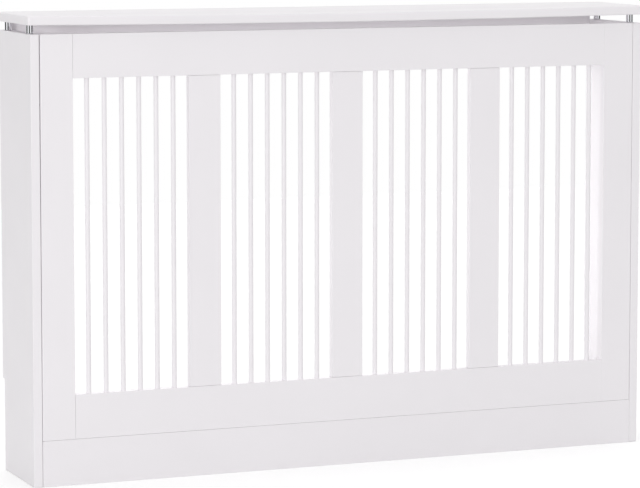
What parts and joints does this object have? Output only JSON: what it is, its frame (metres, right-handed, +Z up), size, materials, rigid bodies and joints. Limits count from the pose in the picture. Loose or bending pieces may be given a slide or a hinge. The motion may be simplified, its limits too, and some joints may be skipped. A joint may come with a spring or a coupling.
{
  "type": "radiator cover cabinet",
  "caption": "Free-standing white radiator cover: open-backed slatted box with a shelf raised on chrome posts above an air gap.",
  "frame": {"origin": "on the floor, under the middle of the shelf's footprint", "axes": "+X to the right along the front, +Y to the wall behind, +Z up; the slatted front faces -Y"},
  "size_m": [1.12, 0.19, 0.77],
  "materials": {
    "white_paint": "satin white paint on MDF",
    "chrome": "polished chrome plate",
    "zinc_plate": "dull zinc plate"
  },
  "bodies": {
    "root": {"cam_bolt_plinth_left": "zinc_plate", "cam_bolt_plinth_right": "zinc_plate", "cam_bolt_rear_rail_left": "zinc_plate", "cam_bolt_rear_rail_right": "zinc_plate", "cam_bolt_stile_lower_left": "zinc_plate", "cam_bolt_stile_lower_right": "zinc_plate", "cam_bolt_stile_upper_left": "zinc_plate", "cam_bolt_stile_upper_right": "zinc_plate", "cam_lock_plinth_left": "zinc_plate", "cam_lock_plinth_right": "zinc_plate", "cam_lock_rear_rail_left": "zinc_plate", "cam_lock_rear_rail_right": "zinc_plate", "cam_lock_stile_lower_left": "zinc_plate", "cam_lock_stile_lower_right": "zinc_plate", "cam_lock_stile_upper_left": "zinc_plate", "cam_lock_stile_upper_right": "zinc_plate", "grille_bottom_rail": "white_paint", "grille_stile_left": "white_paint", "grille_stile_right": "white_paint", "grille_top_rail": "white_paint", "plinth_board": "white_paint", "rear_top_rail": "white_paint", "shelf": "white_paint", "shelf_post_front_left": "chrome", "shelf_post_front_right": "chrome", "shelf_post_rear_left": "chrome", "shelf_post_rear_right": "chrome", "shelf_stud_front_left": "zinc_plate", "shelf_stud_front_right": "zinc_plate", "shelf_stud_rear_left": "zinc_plate", "shelf_stud_rear_right": "zinc_plate", "side_panel_left": "white_paint", "side_panel_right": "white_paint", "thin_slat_bay1_1": "white_paint", "thin_slat_bay1_2": "white_paint", "thin_slat_bay1_3": "white_paint", "thin_slat_bay1_4": "white_paint", "thin_slat_bay1_5": "white_paint", "thin_slat_bay1_6": "white_paint", "thin_slat_bay2_1": "white_paint", "thin_slat_bay2_2": "white_paint", "thin_slat_bay2_3": "white_paint", "thin_slat_bay2_4": "white_paint", "thin_slat_bay2_5": "white_paint", "thin_slat_bay2_6": "white_paint", "thin_slat_bay3_1": "white_paint", "thin_slat_bay3_2": "white_paint", "thin_slat_bay3_3": "white_paint", "thin_slat_bay3_4": "white_paint", "thin_slat_bay3_5": "white_paint", "thin_slat_bay3_6": "white_paint", "thin_slat_bay4_1": "white_paint", "thin_slat_bay4_2": "white_paint", "thin_slat_bay4_3": "white_paint", "thin_slat_bay4_4": "white_paint", "thin_slat_bay4_5": "white_paint", "thin_slat_bay4_6": "white_paint", "wide_slat_1": "white_paint", "wide_slat_2": "white_paint", "wide_slat_3": "white_paint"}
  },
  "joints": []
}
